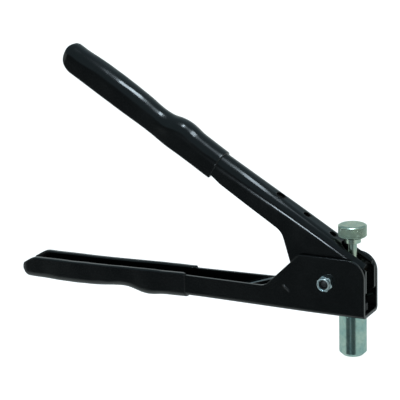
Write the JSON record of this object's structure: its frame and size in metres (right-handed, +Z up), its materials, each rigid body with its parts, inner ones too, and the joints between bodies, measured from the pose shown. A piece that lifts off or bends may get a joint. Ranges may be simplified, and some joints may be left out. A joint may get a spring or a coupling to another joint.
{
  "type": "hand riveter",
  "caption": "Two-handed lever tool with a cylindrical nose, a knurled thumb screw and vinyl grips; closing the handles draws the screw up.",
  "frame": {"origin": "centre of the nose's end face", "axes": "+Z up the nose's axis towards the thumb screw, +X forward, away from the handles, Y across the tool"},
  "size_m": [0.2707, 0.036, 0.2036],
  "materials": {
    "black_paint": "gloss black enamel on steel",
    "black_vinyl": "glossy dipped vinyl",
    "zinc_plate": "bright zinc plate",
    "plain_steel": "oiled machined steel",
    "black_oxide": "oiled black oxide on steel",
    "spring_wire": "drawn spring wire",
    "bronze": "sintered bronze",
    "nylon": "dark nylon"
  },
  "bodies": {
    "frame": {"frame_channel": "black_paint", "lower_grip": "black_vinyl", "nose_housing": "zinc_plate", "nose_lock_nut": "black_oxide", "nose_lock_washer": "black_oxide", "nosepiece": "plain_steel", "pivot_bolt": "black_oxide", "pivot_bolt_washer": "zinc_plate", "pivot_nut": "zinc_plate", "pivot_nut_insert": "nylon", "pivot_sleeve": "plain_steel", "return_spring": "spring_wire"},
    "lever": {"lever_channel": "black_paint", "upper_grip": "black_vinyl", "lever_bushes": "bronze", "return_spring_leg": "spring_wire"},
    "puller": {"puller": "black_oxide", "puller_bush": "bronze", "trunnion_pins": "black_oxide", "thrust_washer": "bronze"},
    "screw": {"thumb_screw": "zinc_plate", "thrust_collar": "plain_steel", "thrust_collar_pin": "plain_steel", "mandrel_holder": "plain_steel", "holder_pin": "plain_steel"}
  },
  "joints": [
    {"name": "lever_pivot", "type": "hinge", "parent": "frame", "child": "lever", "pos_m": [-0.0143, 0, 0.0531], "axis": [0, -1, 0], "range_deg": [0, 30], "stiffness_Nm_per_rad": 0.8, "springref_deg": -34.38},
    {"name": "puller_lift", "type": "slide", "parent": "frame", "child": "puller", "axis": [0, 0, 1], "range_m": [0, 0.00768]},
    {"name": "thumb_screw_turn", "type": "hinge", "parent": "puller", "child": "screw", "pos_m": [0, 0, 0.09], "axis": [0, 0, 1], "continuous": true}
  ],
  "couplings": [
    {"joint": "puller_lift", "follows": "lever_pivot", "m_per_rad": 0.014636}
  ]
}
